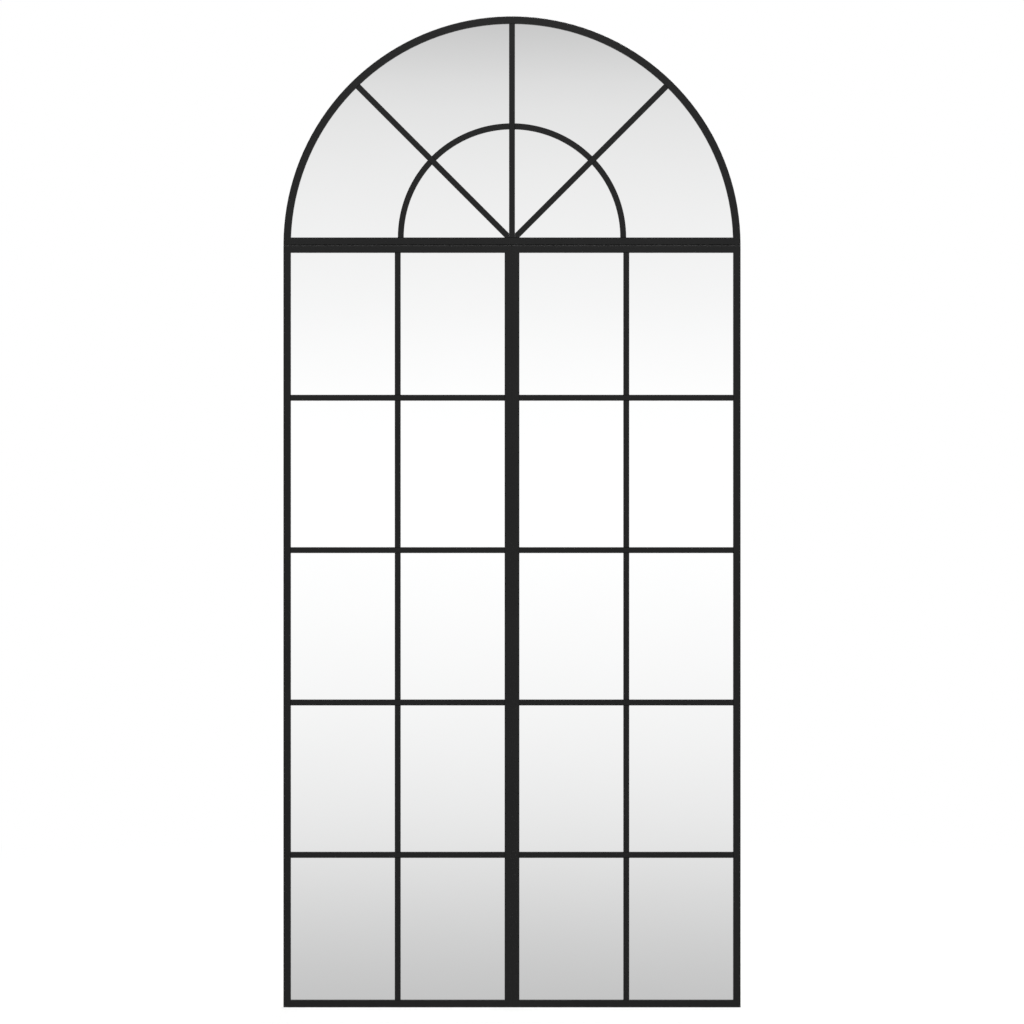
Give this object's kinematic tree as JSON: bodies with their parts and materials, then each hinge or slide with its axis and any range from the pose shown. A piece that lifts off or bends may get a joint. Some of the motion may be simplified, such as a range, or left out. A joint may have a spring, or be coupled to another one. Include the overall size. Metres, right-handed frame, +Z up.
{
  "type": "arched wall mirror",
  "caption": "Tall arched wall mirror styled as a steel window: half-round fan panel over tall panels, flat glazing bars over the glass, back boards held by turn buttons, keyhole hangers.",
  "frame": {"origin": "on the wall plane, midway between the keyholes, level with the top of the lower panels", "axes": "+X to the right as the glass is looked at, +Y into the wall, +Z up"},
  "size_m": [0.6, 0.0162, 1.3005],
  "materials": {
    "coated_steel": "matt powder coat",
    "mirror_glass": "polished",
    "fibreboard": "matt",
    "zinc_steel": "satin",
    "rubber": "matt"
  },
  "bodies": {
    "mirror": {"arch_back_board": "fibreboard", "arch_centre_spoke": "coated_steel", "arch_left_spoke": "coated_steel", "arch_mirror_glass": "mirror_glass", "arch_right_spoke": "coated_steel", "arch_rim": "coated_steel", "arch_ring_muntin": "coated_steel", "arch_sill": "coated_steel", "left_back_board": "fibreboard", "left_bottom_rail": "coated_steel", "left_cross_muntin_1": "coated_steel", "left_cross_muntin_2": "coated_steel", "left_cross_muntin_3": "coated_steel", "left_cross_muntin_4": "coated_steel", "left_keyhole_hanger": "coated_steel", "left_meeting_stile": "coated_steel", "left_mirror_glass": "mirror_glass", "left_outer_stile": "coated_steel", "left_top_rail": "coated_steel", "left_vertical_muntin": "coated_steel", "pivot_studs": "zinc_steel", "right_back_board": "fibreboard", "right_bottom_rail": "coated_steel", "right_cross_muntin_1": "coated_steel", "right_cross_muntin_2": "coated_steel", "right_cross_muntin_3": "coated_steel", "right_cross_muntin_4": "coated_steel", "right_keyhole_hanger": "coated_steel", "right_meeting_stile": "coated_steel", "right_mirror_glass": "mirror_glass", "right_outer_stile": "coated_steel", "right_top_rail": "coated_steel", "right_vertical_muntin": "coated_steel", "wall_bumpers": "rubber"},
    "arch_rim_button_1": {"arch_rim_button_1": "zinc_steel"},
    "arch_rim_button_2": {"arch_rim_button_2": "zinc_steel"},
    "arch_sill_button": {"arch_sill_button": "zinc_steel"},
    "left_meeting_button_1": {"left_meeting_button_1": "zinc_steel"},
    "left_meeting_button_2": {"left_meeting_button_2": "zinc_steel"},
    "left_outer_button_1": {"left_outer_button_1": "zinc_steel"},
    "left_outer_button_2": {"left_outer_button_2": "zinc_steel"},
    "right_meeting_button_1": {"right_meeting_button_1": "zinc_steel"},
    "right_meeting_button_2": {"right_meeting_button_2": "zinc_steel"},
    "right_outer_button_1": {"right_outer_button_1": "zinc_steel"},
    "right_outer_button_2": {"right_outer_button_2": "zinc_steel"}
  },
  "joints": [
    {"name": "arch_rim_button_1_swivel", "type": "hinge", "parent": "mirror", "child": "arch_rim_button_1", "pos_m": [0.20966, -0.0047, 0.21026], "axis": [0, 1, 0], "range_deg": [-90, 90]},
    {"name": "arch_rim_button_2_swivel", "type": "hinge", "parent": "mirror", "child": "arch_rim_button_2", "pos_m": [-0.20966, -0.0047, 0.21026], "axis": [0, 1, 0], "range_deg": [-90, 90]},
    {"name": "arch_sill_button_swivel", "type": "hinge", "parent": "mirror", "child": "arch_sill_button", "pos_m": [0, -0.0047, 0.0041], "axis": [0, 1, 0], "range_deg": [-90, 90]},
    {"name": "left_meeting_button_1_swivel", "type": "hinge", "parent": "mirror", "child": "left_meeting_button_1", "pos_m": [-0.0035, -0.0047, -0.2], "axis": [0, 1, 0], "range_deg": [-90, 90]},
    {"name": "left_meeting_button_2_swivel", "type": "hinge", "parent": "mirror", "child": "left_meeting_button_2", "pos_m": [-0.0035, -0.0047, -0.8], "axis": [0, 1, 0], "range_deg": [-90, 90]},
    {"name": "left_outer_button_1_swivel", "type": "hinge", "parent": "mirror", "child": "left_outer_button_1", "pos_m": [-0.2965, -0.0047, -0.2], "axis": [0, 1, 0], "range_deg": [-90, 90]},
    {"name": "left_outer_button_2_swivel", "type": "hinge", "parent": "mirror", "child": "left_outer_button_2", "pos_m": [-0.2965, -0.0047, -0.8], "axis": [0, 1, 0], "range_deg": [-90, 90]},
    {"name": "right_meeting_button_1_swivel", "type": "hinge", "parent": "mirror", "child": "right_meeting_button_1", "pos_m": [0.0035, -0.0047, -0.2], "axis": [0, 1, 0], "range_deg": [-90, 90]},
    {"name": "right_meeting_button_2_swivel", "type": "hinge", "parent": "mirror", "child": "right_meeting_button_2", "pos_m": [0.0035, -0.0047, -0.8], "axis": [0, 1, 0], "range_deg": [-90, 90]},
    {"name": "right_outer_button_1_swivel", "type": "hinge", "parent": "mirror", "child": "right_outer_button_1", "pos_m": [0.2965, -0.0047, -0.2], "axis": [0, 1, 0], "range_deg": [-90, 90]},
    {"name": "right_outer_button_2_swivel", "type": "hinge", "parent": "mirror", "child": "right_outer_button_2", "pos_m": [0.2965, -0.0047, -0.8], "axis": [0, 1, 0], "range_deg": [-90, 90]}
  ]
}
